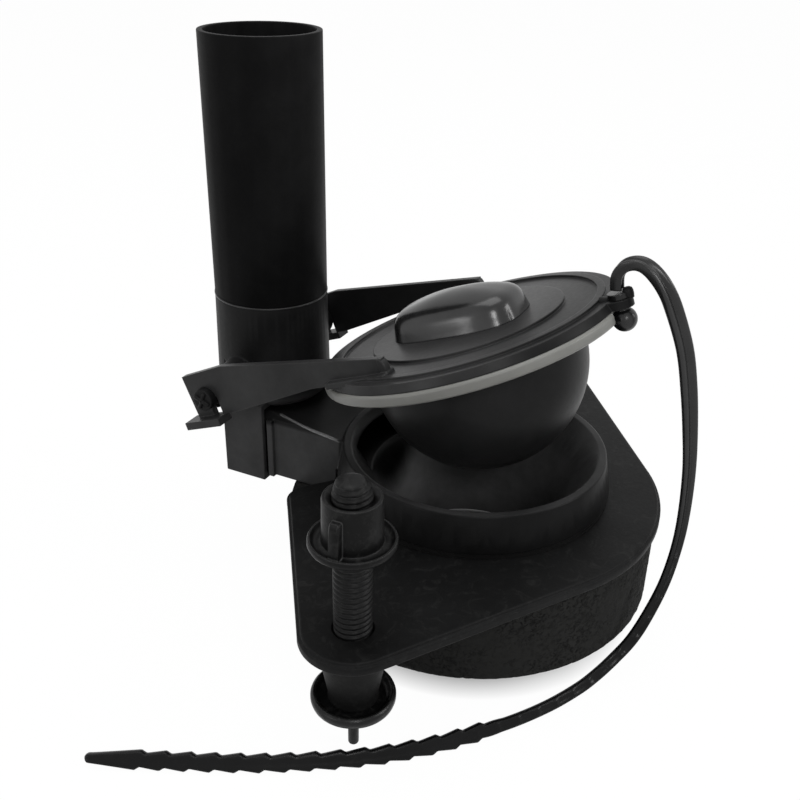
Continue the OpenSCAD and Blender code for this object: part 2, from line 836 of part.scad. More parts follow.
// Flexible strap as one plain swept tube
module pull_strap() {
  rings = len(strap_points);
  sides = strap_sides;
  points = [
    for (i = [0 : rings - 1], k = [0 : sides - 1])
      let (turn = 360 * k / sides, other = cross(strap_heading(i), strap_sideways[i]))
        strap_points[i]
        + strap_diameter / 2 * (cos(turn) * strap_sideways[i] + sin(turn) * other)
  ];
  walls = [
    for (i = [0 : rings - 2], k = [0 : sides - 1])
      let (next = (k + 1) % sides)
        [i * sides + k, (i + 1) * sides + k, (i + 1) * sides + next, i * sides + next]
  ];
  start = [[for (k = [0 : sides - 1]) k]];
  finish = [[for (k = [sides - 1 : -1 : 0]) (rings - 1) * sides + k]];
  color([0.10, 0.10, 0.10])
    polyhedron(points = points, faces = concat(walls, start, finish), convexity = 6);
}

mounting_plate();
sponge_gasket();
seat_washer();
seat_bowl();
lock_nut();
overflow_elbow();
overflow_tube();
fixing_bolt(-1);  // bolt_left
fixing_bolt(1);  // bolt_right
cup_washer(-1);  // cup_washer_left
cup_washer(1);  // cup_washer_right
taper_bush(-1);  // taper_bush_left
taper_bush(1);  // taper_bush_right
hand_nut(-1);  // nut_left
hand_nut(1);  // nut_right
flapper_frame();
seal_ring();
float_bulb();
float_dome();
strap_stud();
pull_strap();
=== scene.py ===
import bpy, bmesh, math
from mathutils import Matrix, Vector, noise


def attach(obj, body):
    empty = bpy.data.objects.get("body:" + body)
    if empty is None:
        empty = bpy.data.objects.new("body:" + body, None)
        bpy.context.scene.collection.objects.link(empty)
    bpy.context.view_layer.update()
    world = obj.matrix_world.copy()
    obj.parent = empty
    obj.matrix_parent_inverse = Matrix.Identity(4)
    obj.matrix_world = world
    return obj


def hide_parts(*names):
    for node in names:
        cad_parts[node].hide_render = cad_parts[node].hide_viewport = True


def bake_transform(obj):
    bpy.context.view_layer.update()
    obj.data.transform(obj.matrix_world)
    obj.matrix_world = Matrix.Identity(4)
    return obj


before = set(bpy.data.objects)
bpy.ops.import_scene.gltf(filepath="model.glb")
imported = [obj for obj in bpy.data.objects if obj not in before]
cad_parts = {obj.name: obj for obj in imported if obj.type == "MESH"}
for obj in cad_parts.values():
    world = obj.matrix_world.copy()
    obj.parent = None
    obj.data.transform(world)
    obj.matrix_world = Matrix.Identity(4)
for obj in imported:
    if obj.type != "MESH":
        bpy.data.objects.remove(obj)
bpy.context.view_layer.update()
scene = bpy.context.scene
mm = 0.001


# small mesh helpers
def newPiece(name, verts, faces, smooth=True):
    mesh = bpy.data.meshes.new(name)
    mesh.from_pydata(verts, [], faces)
    mesh.validate()
    bm = bmesh.new()
    bm.from_mesh(mesh)
    bmesh.ops.recalc_face_normals(bm, faces=bm.faces)
    bm.to_mesh(mesh)
    bm.free()
    obj = bpy.data.objects.new(name, mesh)
    scene.collection.objects.link(obj)
    for poly in mesh.polygons:
        poly.use_smooth = smooth
    return obj


def addBevel(obj, width, segments, angle):
    bevel = obj.modifiers.new("softEdge", "BEVEL")
    bevel.width = width
    bevel.segments = segments
    bevel.limit_method = "ANGLE"
    bevel.angle_limit = math.radians(angle)
    bevel.use_clamp_overlap = True
    return bevel


def smoothByAngle(obj, angle):
    # edges that turn by more than the angle stay sharp
    limit = math.radians(angle)
    bm = bmesh.new()
    bm.from_mesh(obj.data)
    for face in bm.faces:
        face.smooth = True
    for edge in bm.edges:
        edge.smooth = len(edge.link_faces) == 2 and edge.calc_face_angle(0) < limit
    bm.to_mesh(obj.data)
    bm.free()


def lathe(profile, steps, closed=True):
    # profile: (radius, z) pairs, swept about Z
    verts, faces = [], []
    count = len(profile)
    for i in range(steps):
        turn = 2 * math.pi * i / steps
        verts += [(r * math.cos(turn), r * math.sin(turn), z) for r, z in profile]
    for i in range(steps):
        a, b = i * count, (i + 1) % steps * count
        for k in range(count if closed else count - 1):
            n = (k + 1) % count
            faces.append((a + k, b + k, b + n, a + n))
    return verts, faces


def shifted(verts, by):
    return [tuple(Vector(v) + Vector(by)) for v in verts]


def inMetres(verts):
    return [tuple(c * mm for c in v) for v in verts]


def joined(parts):
    verts, faces = [], []
    for v, f in parts:
        base = len(verts)
        verts += v
        faces += [tuple(base + i for i in face) for face in f]
    return verts, faces


# the open flapper: its lean in degrees, and the hinge's place in mm
flapperPose = {"lean": -21, "hingeY": 66, "hingeZ": 51.6, "hingeOverDisc": 1.4}


def onFlapper(point):
    # from the disc's own frame, in mm, to the open flapper's place, in metres
    lean = math.radians(flapperPose["lean"])
    hinge = flapperPose["hingeY"]
    x, y, z = point[0], point[1] - hinge, point[2] - flapperPose["hingeOverDisc"]
    return (x * mm, (hinge + y * math.cos(lean) - z * math.sin(lean)) * mm,
            (flapperPose["hingeZ"] + y * math.sin(lean) + z * math.cos(lean)) * mm)


print("frame loaded:", len(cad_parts), "nodes")

# camera at the photograph's own view
cameraLook = {
    "place": (-0.22058, -0.08241, 0.17514),
    "right": (0.44082, -0.89739, 0.01918),
    "up": (0.41027, 0.22044, 0.88492),
    "back": (-0.79835, -0.38222, 0.46535),
    "lens": 43.77, "sensor": 36, "nearest": 0.01,
}
cameraData = bpy.data.cameras.new("viewCamera")
cameraData.sensor_width = cameraLook["sensor"]
cameraData.lens = cameraLook["lens"]
cameraData.clip_start = cameraLook["nearest"]
camera = bpy.data.objects.new("viewCamera", cameraData)
scene.collection.objects.link(camera)
axes = Matrix([cameraLook["right"], cameraLook["up"], cameraLook["back"]]).transposed()
camera.matrix_world = Matrix.Translation(cameraLook["place"]) @ axes.to_4x4()
scene.camera = camera
print("camera set")

# pull strap: a grooved flat cord with saw teeth on its tail, in mm
strapLook = {
    "route": [
        (0, -34, 91), (0, -33.8, 94.5), (0, -35.4, 97.2), (0, -38.4, 98.2), (0, -41.5, 97),
        (0, -45, 93.5), (0, -48, 88.5), (0, -52, 79), (0, -54.5, 69), (0, -56.5, 58),
        (-1, -58.1, 47.5), (-2.1, -58.9, 36), (-3.9, -58.9, 26.5), (-7.6, -58, 17.5),
        (-12.2, -56.1, 9.9), (-16.4, -53.5, 2.9), (-20.7, -50.2, -2.1), (-25.5, -47.2, -5.1),
        (-31, -44.2, -6.6), (-39.5, -39.4, -7.2), (-48.4, -33.3, -7.2), (-56.7, -26.2, -7.2),
        (-65.2, -18.1, -7.2), (-73.3, -8.6, -7.2), (-80.4, 1.8, -7.2), (-87.4, 13.8, -7.2),
        (-93.4, 25.9, -7.2), (-99.2, 38.6, -7.2), (-105.4, 52.7, -7.2),
    ],
    "routeSteps": 14, "gap": 0.40, "smooth": 42,
    # each of these is by the distance along the strap
    "halfWidths": [(0, 1.8), (12, 2.0), (24, 2.15), (45, 2.05), (56, 1.87), (66, 1.65), (78, 1.5),
                   (90, 1.36), (100, 1.38), (112, 1.52), (150, 1.48), (175, 1.55), (270, 1.62)],
    "halfThicks": [(0, 1.45), (14, 1.35), (35, 1.05), (270, 1.05)],
    "groove": [(0, 0.72), (70, 0.62), (125, 0.16), (270, 0.08)], "grooveHalf": 0.5,
    "face": (-0.80, -0.38, 0.46), "turnStart": 4, "turnEnd": 26,
    "tipHalf": 1.05, "tipLength": 11.9, "tipFlat": 0.06,
    "toothPitch": 5.85, "toothRise": 0.78, "toothDrop": 0.2,
    "toothedRun": 101, "fadeRun": 8, "stagger": 1.5,
    "tickRise": 0.28, "tickRun": 72, "lift": 0.65, "liftStart": 118, "liftEnd": 150,
}
# one half of the strap's section, as shares of its half width and half thickness
strapSection = [
    (1.0, 0.0), (0.97, 0.5), (0.86, 0.88), (0.66, 1.0), (0.45, 1.0), (0.22, 1.0), (0.0, 1.0),
    (-0.22, 1.0), (-0.45, 1.0), (-0.66, 1.0), (-0.86, 0.88), (-0.97, 0.5),
]


def smoothPoint(a, b, c, d, t):
    return 0.5 * (2 * b + (c - a) * t + (2 * a - 5 * b + 4 * c - d) * t * t
                  + (3 * b - a - 3 * c + d) * t * t * t)


def smoothRoute(points, steps):
    pts = [Vector(p) for p in points]
    last = len(pts) - 1
    line = []
    for i in range(last):
        near = [pts[max(0, min(last, i + k))] for k in (-1, 0, 1, 2)]
        line += [smoothPoint(*near, s / steps) for s in range(steps)]
    return line + [pts[last]]


def evenly(line, gap, leastEnd=0.3):
    # the same line again, with its points one gap apart
    out, carry = [line[0].copy()], 0.0
    for a, b in zip(line, line[1:]):
        run = (b - a).length
        at = gap - carry
        while at <= run:
            out.append(a.lerp(b, at / run))
            at += gap
        carry = run - (at - gap)
    if (out[-1] - line[-1]).length > gap * leastEnd:
        out.append(line[-1].copy())
    return out


def eased(value, low, high):
    t = max(0.0, min(1.0, (value - low) / (high - low)))
    return t * t * (3 - 2 * t)


def along(stops, value):
    for (a, x), (b, y) in zip(stops, stops[1:]):
        if value <= b:
            return x + (y - x) * max(0.0, (value - a) / (b - a))
    return stops[-1][1]


def toothAt(look, fromTip):
    # 1 at a tooth's point, falling off sharply on one side
    run = fromTip - look["tipLength"]
    phase = run / look["toothPitch"] % 1.0
    drop = look["toothDrop"]
    return 1 - phase / drop if phase < drop else (phase - drop) / (1 - drop)


def strapEdge(look, half, fromTip):
    if fromTip < look["tipLength"]:
        full = half + look["toothRise"]
        return look["tipHalf"] + (full - look["tipHalf"]) * max(0.0, fromTip) / look["tipLength"]
    left = 1 - eased(fromTip, look["toothedRun"] - look["fadeRun"], look["toothedRun"])
    return half + look["toothRise"] * toothAt(look, fromTip) * left


def buildStrap(look):
    line = evenly(smoothRoute(look["route"], look["routeSteps"]), look["gap"])
    count = len(line)
    total = sum((b - a).length for a, b in zip(line, line[1:]))
    face = Vector(look["face"]).normalized()
    loop = strapSection + [(-w, -t) for w, t in strapSection]
    section = len(loop)
    blunt = look["tipHalf"]
    verts, faces, middle = [], [], []
    travelled = 0.0
    for i, p in enumerate(line):
        if i:
            travelled += (p - line[i - 1]).length
        fromTip = total - travelled
        heading = (line[min(i + 1, count - 1)] - line[max(i - 1, 0)]).normalized()
        # its flat side lies across the hook, then turns towards the front
        turned = eased(travelled, look["turnStart"], look["turnEnd"])
        wide = Vector((1, 0, 0)).lerp(face.cross(heading), turned)
        wide = (wide - heading * wide.dot(heading)).normalized()
        thin = heading.cross(wide)
        half = along(look["halfWidths"], travelled)
        near = strapEdge(look, half, fromTip)
        far = strapEdge(look, half, fromTip - look["stagger"])
        cap = 1.0
        if fromTip < blunt:
            cap = math.sqrt(max(look["tipFlat"], 1 - (1 - fromTip / blunt) ** 2))
        near, far, thick = near * cap, far * cap, along(look["halfThicks"], travelled) * cap
        tick, groove = 0.0, along(look["groove"], travelled)
        if look["toothedRun"] - look["fadeRun"] < fromTip < look["toothedRun"] + look["tickRun"]:
            tick = look["tickRise"] * toothAt(look, fromTip) ** 3
        lift = look["lift"] * eased(travelled, look["liftStart"], look["liftEnd"])
        middle.append(p + Vector((0, 0, lift)))
        for w, t in loop:
            edge = near if w > 0 else far
            bulge = tick if abs(w) < look["grooveHalf"] else 0.0
            hollow = 1 - groove * max(0.0, 1 - abs(w) / look["grooveHalf"])
            depth = t * thick * hollow + math.copysign(bulge, t)
            verts.append(tuple((middle[-1] + wide * w * edge + thin * depth) * mm))
        if i:
            a, b = (i - 1) * section, i * section
            faces += [(a + k, b + k, b + (k + 1) % section, a + (k + 1) % section)
                      for k in range(section)]
    faces += [tuple(range(section)), tuple(range((count - 1) * section, count * section))]
    strap = newPiece("pullStrap", verts, faces)
    smoothByAngle(strap, look["smooth"])
    length = sum((b - a).length for a, b in zip(middle, middle[1:]))
    return strap, [tuple(p * mm) for p in middle], length * mm


pullStrap, strapLine, strapLength = buildStrap(strapLook)
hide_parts("pull_strap")
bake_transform(pullStrap)
print("strap length, mm:", round(strapLength / mm))


# finishes
def shader(name):
    mat = bpy.data.materials.new(name)
    mat.use_nodes = True
    tree = mat.node_tree
    return mat, tree.nodes, tree.links, tree.nodes["Principled BSDF"]


def node(nodes, kind, **sockets):
    made = nodes.new(kind)
    for key, value in sockets.items():
        made.inputs[key.replace("_", " ")].default_value = value
    return made


def scaled(tone, by):
    return tuple(c * by for c in tone)


def ramp(nodes, links, source, stops):
    made = nodes.new("ShaderNodeValToRGB")
    links.new(source, made.inputs["Fac"])
    while len(made.color_ramp.elements) < len(stops):
        made.color_ramp.elements.new(0.5)
    for element, (at, tone) in zip(made.color_ramp.elements, stops):
        element.position = at
        element.color = (*tone, 1) if isinstance(tone, tuple) else (tone, tone, tone, 1)
    return made.outputs["Color"]


def mixTone(nodes, links, factor, a, b, blend="MIX"):
    made = nodes.new("ShaderNodeMix")
    made.data_type = "RGBA"
    made.blend_type = blend
    # the numbers are the mix node's own colour sockets
    for socket, value in ((made.inputs[0], factor), (made.inputs[6], a), (made.inputs[7], b)):
        if hasattr(value, "links"):
            links.new(value, socket)
        elif isinstance(value, tuple):
            socket.default_value = (*value, 1)
        else:
            socket.default_value = value
    return made.outputs[2]


def joinedMath(nodes, links, operation, a, b):
    made = nodes.new("ShaderNodeMath")
    made.operation = operation
    links.new(a, made.inputs[0])
    links.new(b, made.inputs[1])
    return made.outputs[0]


def lengthOf(nodes, links, source):
    reach = nodes.new("ShaderNodeVectorMath")
    reach.operation = "LENGTH"
    links.new(source, reach.inputs[0])
    return reach.outputs["Value"]


def regionMask(nodes, links, place, marks):
    # 1 where every mark holds: an axis of the object, or R out from its Z axis,
    # with where the mark starts and where it is full
    split = nodes.new("ShaderNodeSeparateXYZ")
    links.new(place, split.inputs[0])
    found = None
    for axis, low, high in marks:
        if axis == "R":
            flat = nodes.new("ShaderNodeCombineXYZ")
            links.new(split.outputs["X"], flat.inputs["X"])
            links.new(split.outputs["Y"], flat.inputs["Y"])
            source = lengthOf(nodes, links, flat.outputs[0])
        else:
            source = split.outputs[axis]
        span = node(nodes, "ShaderNodeMapRange", From_Min=low, From_Max=high)
        span.interpolation_type = "SMOOTHSTEP"
        links.new(source, span.inputs["Value"])
        share = span.outputs["Result"]
        found = joinedMath(nodes, links, "MULTIPLY", found, share) if found else share
    return found


plasticLook = {
    "clouds": [(0.34, 0.0), (0.68, 1.0)], "cloudDark": 0.75, "cloudLight": 1.4,
    "scuffs": [(0.52, 0.0), (0.74, 1.0)], "dustTone": (0.17, 0.17, 0.165),
    "dustRough": 0.8, "dustRoughShare": 0.8, "smoother": 0.07, "rougher": 0.09,
    "edgeTone": 0.16, "edgeWidth": 0.0005, "edgeSamples": 6, "edges": [(0.82, 1.0), (0.985, 0.0)],
    "bumpGain": 6, "bumpDepth": 0.0002,
}


def edgeWearAndSheen(nodes, links, look):
    # 1 along sharp outer edges, 0 on flats; the lighter edges it gives are wear, and on the bowl also a painted
    # highlight
    bevel = node(nodes, "ShaderNodeBevel", Radius=look["edgeWidth"])
    bevel.samples = look["edgeSamples"]
    geometry = nodes.new("ShaderNodeNewGeometry")
    dot = nodes.new("ShaderNodeVectorMath")
    dot.operation = "DOT_PRODUCT"
    links.new(bevel.outputs["Normal"], dot.inputs[0])
    links.new(geometry.outputs["Normal"], dot.inputs[1])
    return ramp(nodes, links, dot.outputs["Value"], look["edges"]), bevel.outputs["Normal"]


def plastic(name, tone, rough, grain, edge, gloss, dust=0.0, regions=(), dull=()):
    look = plasticLook
    mat, nodes, links, out = shader(name)
    place = nodes.new("ShaderNodeTexCoord").outputs["Object"]
    cloud = node(nodes, "ShaderNodeTexNoise", Scale=55.0, Detail=6.0, Roughness=0.62)
    fine = node(nodes, "ShaderNodeTexNoise", Scale=900.0, Detail=4.0, Roughness=0.6)
    scuff = node(nodes, "ShaderNodeTexNoise", Scale=240.0, Detail=8.0, Roughness=0.75, Distortion=1.2)
    for texture in (cloud, fine, scuff):
        links.new(place, texture.inputs["Vector"])
    clouds = ramp(nodes, links, cloud.outputs["Fac"], look["clouds"])
    scuffs = ramp(nodes, links, scuff.outputs["Fac"], look["scuffs"])

    def mix(factor, a, b):
        return mixTone(nodes, links, factor, a, b)

    def mottled(colour):
        return mix(clouds, scaled(colour, look["cloudDark"]), scaled(colour, look["cloudLight"]))

    def partly(amount, mask):
        return mix(amount, (0, 0, 0), mask)

    base = mottled(tone)
    for *marks, other in regions:
        base = mix(regionMask(nodes, links, place, marks), base, mottled(other))
    wornEdgeAndSheenMask, soft = edgeWearAndSheen(nodes, links, look)
    dusty = mix(partly(dust, scuffs), base, look["dustTone"])
    edged = mix(partly(edge, wornEdgeAndSheenMask), dusty, (look["edgeTone"],) * 3)
    links.new(edged, out.inputs["Base Color"])
    spread = mix(fine.outputs["Fac"], (rough - look["smoother"],) * 3, (rough + look["rougher"],) * 3)
    dustRough = mix(partly(dust * look["dustRoughShare"], scuffs), spread, (look["dustRough"],) * 3)
    links.new(dustRough, out.inputs["Roughness"])
    bump = node(nodes, "ShaderNodeBump", Strength=grain * look["bumpGain"], Distance=look["bumpDepth"])
    links.new(fine.outputs["Fac"], bump.inputs["Height"])
    links.new(soft, bump.inputs["Normal"])
    links.new(bump.outputs["Normal"], out.inputs["Normal"])
    out.inputs["Specular IOR Level"].default_value = gloss
    for *marks, low in dull:
        share = regionMask(nodes, links, place, marks)
        links.new(mix(share, (gloss,) * 3, (low,) * 3), out.inputs["Specular IOR Level"])
    return mat


spongeLook = {
    "cells": [(0.10, 0.0), (0.34, 1.0)], "pores": [(0.36, 0.0), (0.52, 1.0)], "cellShare": 0.7,
    "patches": [(0.38, 0.12), (0.62, 1.0)], "deep": 0.18, "dark": 0.9, "light": 1.7,
    "rough": 0.92, "bump": 0.8, "bumpDepth": 0.0005, "gloss": 0.12,
}


def spongeFinish(name, tone):
    look = spongeLook
    mat, nodes, links, out = shader(name)
    place = nodes.new("ShaderNodeTexCoord").outputs["Object"]
    pores = node(nodes, "ShaderNodeTexNoise", Scale=760.0, Detail=4.0, Roughness=0.7, Distortion=0.9)
    cells = node(nodes, "ShaderNodeTexVoronoi", Scale=560.0, Randomness=1.0)
    drift = node(nodes, "ShaderNodeTexNoise", Scale=75.0, Detail=5.0, Roughness=0.65)
    for texture in (pores, cells, drift):
        links.new(place, texture.inputs["Vector"])
    holes = ramp(nodes, links, cells.outputs["Distance"], look["cells"])
    torn = ramp(nodes, links, pores.outputs["Fac"], look["pores"])
    where = ramp(nodes, links, drift.outputs["Fac"], look["patches"])
    # pores and cells painted down towards the deep tone: painted shade in the sponge's holes
    pitted = mixTone(nodes, links, look["cellShare"], torn, holes, "MULTIPLY")
    skin = mixTone(nodes, links, where, (1, 1, 1), pitted)
    light = mixTone(nodes, links, drift.outputs["Fac"], scaled(tone, look["dark"]),
                    scaled(tone, look["light"]))
    links.new(mixTone(nodes, links, skin, scaled(tone, look["deep"]), light), out.inputs["Base Color"])
    out.inputs["Roughness"].default_value = look["rough"]
    bump = node(nodes, "ShaderNodeBump", Strength=look["bump"], Distance=look["bumpDepth"])
    links.new(skin, bump.inputs["Height"])
    links.new(bump.outputs["Normal"], out.inputs["Normal"])
    out.inputs["Specular IOR Level"].default_value = look["gloss"]
    return mat


siliconeLook = {
    "hazeFrom": 0.3, "hazeTo": 0.7, "dark": 0.84, "smoothest": 0.34, "roughest": 0.46,
    "bump": 0.12, "bumpDepth": 0.0002, "bend": 1.42,
    "scatter": 0.35, "scatterTint": (1.0, 1.0, 0.9), "scatterReach": 0.002,
}


def siliconeFinish(name, tone):
    look = siliconeLook
    mat, nodes, links, out = shader(name)
    place = nodes.new("ShaderNodeTexCoord").outputs["Object"]
    haze = node(nodes, "ShaderNodeTexNoise", Scale=90.0, Detail=5.0, Roughness=0.6)
    fine = node(nodes, "ShaderNodeTexNoise", Scale=700.0, Detail=3.0)
    for texture in (haze, fine):
        links.new(place, texture.inputs["Vector"])
    tones = [(look["hazeFrom"], scaled(tone, look["dark"])), (look["hazeTo"], tone)]
    roughs = [(look["hazeFrom"], look["smoothest"]), (look["hazeTo"], look["roughest"])]
    links.new(ramp(nodes, links, haze.outputs["Fac"], tones), out.inputs["Base Color"])
    links.new(ramp(nodes, links, haze.outputs["Fac"], roughs), out.inputs["Roughness"])
    bump = node(nodes, "ShaderNodeBump", Strength=look["bump"], Distance=look["bumpDepth"])
    links.new(fine.outputs["Fac"], bump.inputs["Height"])
    links.new(bump.outputs["Normal"], out.inputs["Normal"])
    out.inputs["Subsurface Weight"].default_value = look["scatter"]
    out.inputs["Subsurface Radius"].default_value = look["scatterTint"]
    out.inputs["Subsurface Scale"].default_value = look["scatterReach"]
    out.inputs["IOR"].default_value = look["bend"]
    return mat


# second tones, all painted light and shade, for the parts of a piece that are darker or lighter in the
# photograph:
# the marks that have to hold, then the tone
bodyRegions = [
    (("Y", 0.0338, 0.0346), (0.046, 0.046, 0.0465)),  # duct's side, painted lighter: painted light
    (("Y", 0.0572, 0.0575), (0.0012, 0.0012, 0.0012)),  # painted shade in the gap at the duct's end, by the elbow
    (("Z", 0.0376, 0.0390), (0.0062, 0.0062, 0.0063)),  # rim and roof, back near the dark base: painted shade, kept out of the duct's painted light
    (("R", 0.0364, 0.0360), (0.040, 0.040, 0.0404)),  # inside of the bowl, painted lighter: painted light
    (("R", 0.0300, 0.0250), (0.070, 0.070, 0.0705)),  # funnel, painted lighter still: painted light
    (("R", 0.0358, 0.0352), ("X", -0.0185, -0.0150), ("X", 0.0185, 0.0150), ("Y", 0.0225, 0.0255),
     ("Z", 0.0374, 0.0366), (0.0012, 0.0012, 0.0012)),  # painted shade around the duct's mouth in the bowl
    (("X", -0.0150, -0.0146), ("X", 0.0150, 0.0146), ("Y", 0.0300, 0.0320),
     ("Z", 0.0370, 0.0366), (0.0012, 0.0012, 0.0012)),  # painted shade in the channel behind the mouth
]
elbowRegions = [(("Z", 0.0440, 0.0475), (0.0065, 0.0065, 0.0067))]  # tube socket, painted dark: painted shade
tubeRegions = [
    # painted light on the tube's side towards -Y, painted shade on its side towards +Y
    (("Y", 0.060, 0.050), (0.0095, 0.0095, 0.0097)),
    (("Y", 0.070, 0.080), (0.0044, 0.0044, 0.0046)),
]
flapperRegions = [
    (("X", 0.024, 0.027), ("Y", 0.012, 0.020), (0.010, 0.010, 0.0102)),  # far arm, painted darker: painted shade
    (("Y", -0.004, -0.026), (0.016, 0.016, 0.0162)),  # the disc's free half, painted darker: painted shade
]
domeRegions = [
    # painted light on the dome's two long walls, lighter than its crown
    (("X", -0.0088, -0.0112), (0.036, 0.036, 0.0363)),
    (("X", 0.0088, 0.0112), (0.036, 0.036, 0.0363)),
]
strapRegions = [
    (("Z", 0.015, 0.060), (0.022, 0.022, 0.0222)),  # standing part, painted lighter: painted light
    (("Y", -0.0395, -0.0360), (0.005, 0.005, 0.0052)),  # foot of the hook, kept dark, out of the standing part's painted light
]

finishes = {
    "plate": plastic("plateBlack", (0.0068, 0.0069, 0.0070), 0.50, grain=0.05, edge=0.30, gloss=0.09,
                     dust=0.09),
    "sponge": spongeFinish("spongeBlack", (0.018, 0.018, 0.0174)),
    "rubber": plastic("rubberBlack", (0.0055, 0.0055, 0.0055), 0.55, grain=0.04, edge=0.15, gloss=0.12,
                      dust=0.06),
    # the bowl's edge share is high: its lighter edges are partly wear and partly a painted highlight along the
    # rim
    "body": plastic("bodyBlack", (0.0068, 0.0068, 0.0069), 0.36, grain=0.02, edge=0.50, gloss=0.08,
                    dust=0.01, regions=bodyRegions),
    # the elbow's lighter grey is painted light on its sleeve; its socket is painted shade (elbowRegions)
    "elbow": plastic("elbowBlack", (0.040, 0.040, 0.0405), 0.48, grain=0.03, edge=0.12, gloss=0.10,
                     dust=0.02, regions=elbowRegions),
    "tube": plastic("tubeBlack", (0.0058, 0.0058, 0.0060), 0.46, grain=0.02, edge=0.10, gloss=0.03,
                    dust=0.01, regions=tubeRegions),
    "fixing": plastic("fixingBlack", (0.0050, 0.0050, 0.0051), 0.40, grain=0.05, edge=0.36, gloss=0.12,
                      dust=0.12),
    "cup": plastic("cupBlack", (0.0050, 0.0050, 0.0051), 0.30, grain=0.06, edge=0.36, gloss=0.22,
                   dust=0.22),
    "flapper": plastic("flapperGrey", (0.030, 0.030, 0.0303), 0.36, grain=0.02, edge=0.18, gloss=0.14,
                       dust=0.015, regions=flapperRegions, dull=[(("Y", -0.004, -0.026), 0.06)]),
    "bulb": plastic("bulbBlack", (0.0115, 0.0115, 0.0117), 0.38, grain=0.01, edge=0.05, gloss=0.10,
                    dust=0.01),
    "dome": plastic("domeGrey", (0.011, 0.011, 0.0112), 0.20, grain=0.01, edge=0.05, gloss=0.42,
                    dust=0.015, regions=domeRegions),
    "seal": siliconeFinish("sealMilky", (0.25, 0.25, 0.235)),
    # bead: a lighter grey that is a painted highlight
    "bead": plastic("beadHighlightGrey", (0.060, 0.060, 0.0605), 0.20, grain=0.01, edge=0.10, gloss=0.60),
    # lip: a lighter grey that is a painted highlight
    "lip": plastic("lipHighlightGrey", (0.026, 0.026, 0.0263), 0.30, grain=0.01, edge=0.10, gloss=0.30),
    "strap": plastic("strapBlack", (0.006, 0.006, 0.0062), 0.26, grain=0.01, edge=0.10, gloss=0.34,
                     dust=0.02, regions=strapRegions, dull=[(("Z", 0.045, 0.010), 0.13)]),
}
wears = {
    "mounting_plate": "plate", "sponge_gasket": "sponge", "seat_washer": "rubber", "seat_bowl": "body",
    "lock_nut": "body", "overflow_elbow": "elbow", "overflow_tube": "tube",
    "bolt_left": "fixing", "bolt_right": "fixing", "cup_washer_left": "cup", "cup_washer_right": "cup",
    "taper_bush_left": "rubber", "taper_bush_right": "rubber", "nut_left": "fixing", "nut_right": "fixing",
    "flapper_frame": "flapper", "seal_ring": "seal", "float_bulb": "bulb", "float_dome": "dome",
    "strap_stud": "strap", "pull_strap": "strap",
}


def wear(obj, finish):
    obj.data.materials.clear()
    obj.data.materials.append(finishes[finish])
    return obj


for name, finish in wears.items():
    wear(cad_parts[name], finish)
wear(pullStrap, "strap")
print("finishes on:", len(wears))

# bolts with cut threads, in mm
boltLook = {
    "side": 70.5, "radius": 4.5, "pitch": 1.45, "depth": 0.52, "grooveHalf": 0.38,
    "foot": 4.5, "top": 66.4, "rightDrop": 1.1, "tip": 3.6, "tipDraw": 0.9, "endRound": 0.9,
    "around": 48, "perTurn": 10, "pegAround": 24, "smooth": 50,
    "head": [(0.01, 1.9), (5.6, 1.9), (6.2, 2.5), (6.2, 4.3), (5.8, 4.7), (0.01, 4.7)],
    "peg": [(0.01, 2.1), (1.35, 2.1), (1.296, -8.45), (1.188, -8.72), (0.945, -8.8), (0.01, -8.8)],
}


def threaded(look, top):
    # a shank whose wall follows one winding groove, closed at both ends
    foot, around, tip, roundOff = look["foot"], look["around"], look["tip"], look["endRound"]
    rows = int((top - foot) / look["pitch"] * look["perTurn"])
    verts, faces = [], []
    for j in range(rows + 1):
        z = foot + (top - foot) * j / rows
        for i in range(around):
            turn = i / around
            phase = ((z - foot) / look["pitch"] - turn) % 1.0
            r = look["radius"] - look["depth"] * eased(1 - abs(phase - 0.5) / look["grooveHalf"], 0, 1)
            if z > top - tip:
                r -= look["tipDraw"] * (z - top + tip) / tip
            if z > top - roundOff:
                r -= roundOff * ((z - top + roundOff) / roundOff) ** 2
            verts.append((r * math.cos(2 * math.pi * turn), r * math.sin(2 * math.pi * turn), z))
    for j in range(rows):
        a, b = j * around, (j + 1) * around
        faces += [(a + i, a + (i + 1) % around, b + (i + 1) % around, b + i) for i in range(around)]
    faces += [tuple(reversed(range(around))), tuple(rows * around + i for i in range(around))]
    return verts, faces


for side, nodeName, pieceName in ((-1, "bolt_left", "boltLeft"), (1, "bolt_right", "boltRight")):
    top = boltLook["top"] - (boltLook["rightDrop"] if side > 0 else 0)
    head = lathe(boltLook["head"], boltLook["around"], closed=False)
    peg = lathe(boltLook["peg"], boltLook["pegAround"], closed=False)
    verts, faces = joined([threaded(boltLook, top), head, peg])
    bolt = newPiece(pieceName, inMetres(shifted(verts, (side * boltLook["side"], 0, 0))), faces)
    smoothByAngle(bolt, boltLook["smooth"])
    wear(bolt, "fixing")
    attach(bolt, "valve_body")
    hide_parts(nodeName)
print("bolts threaded")

# sponge gasket, pitted all over its outside, in mm
gasketLook = {
    "outer": 51.5, "inner": 39.0, "height": 24.0, "around": 420, "rows": 36, "rings": (4, 8), "topRing": 2,
    "pit": 0.30, "pitBase": 0.06, "roughScale": 0.6, "roughRise": 0.12, "roughRatio": 2.1, "roughLayers": 5,
    "holeScale": 1.1, "holeShift": (9, 3, 5), "holeFrom": 0.3, "holeRise": 0.8,
    "edgeRound": 0.5, "edgeRun": 0.8, "wallSlack": 0.1,
    "notchFloor": 20.5, "notchHalf": 18.0, "notchRoot": 35.0, "notchAngle": 41.0,
}


